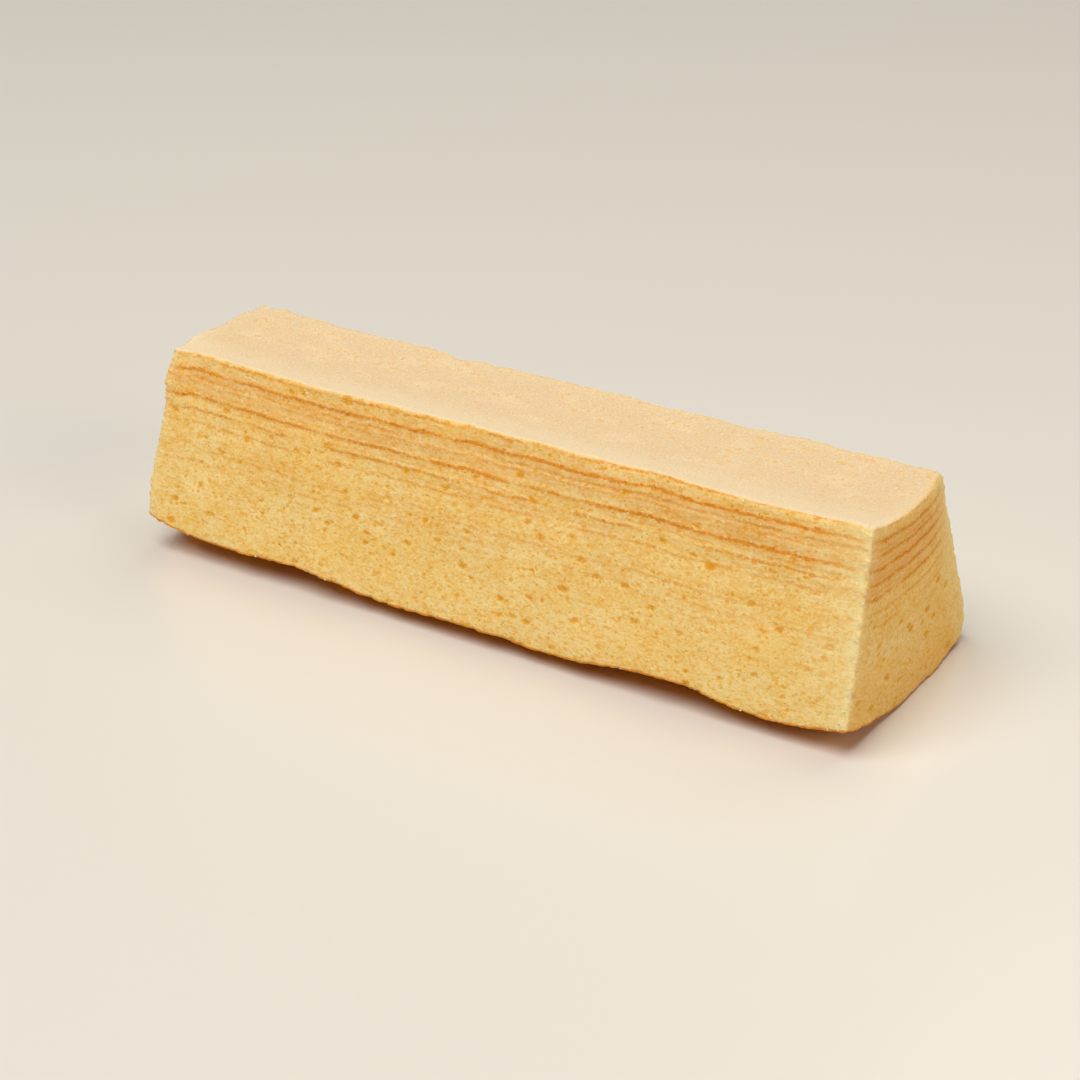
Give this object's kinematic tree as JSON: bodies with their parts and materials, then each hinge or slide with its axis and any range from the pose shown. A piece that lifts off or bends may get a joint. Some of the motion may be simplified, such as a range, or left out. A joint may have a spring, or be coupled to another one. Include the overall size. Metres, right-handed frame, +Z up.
{
  "type": "sliced baumkuchen",
  "caption": "Bar cut from a layered ring cake: narrow, pale, slightly concave skin on top, browned layer lines at the cuts, wider convex crust underneath.",
  "frame": {"origin": "middle of the footprint, at the height of the surface that the bar lies on", "axes": "+X along the bar, +Y to its back, +Z up through the pale skin"},
  "size_m": [0.152, 0.051, 0.0385],
  "materials": {
    "sponge": "matt, fine-pored golden sponge cake with browned layer lines, a pale cream skin and a golden baked crust"
  },
  "bodies": {
    "root": {"baumkuchen_bar": "sponge"}
  },
  "joints": []
}
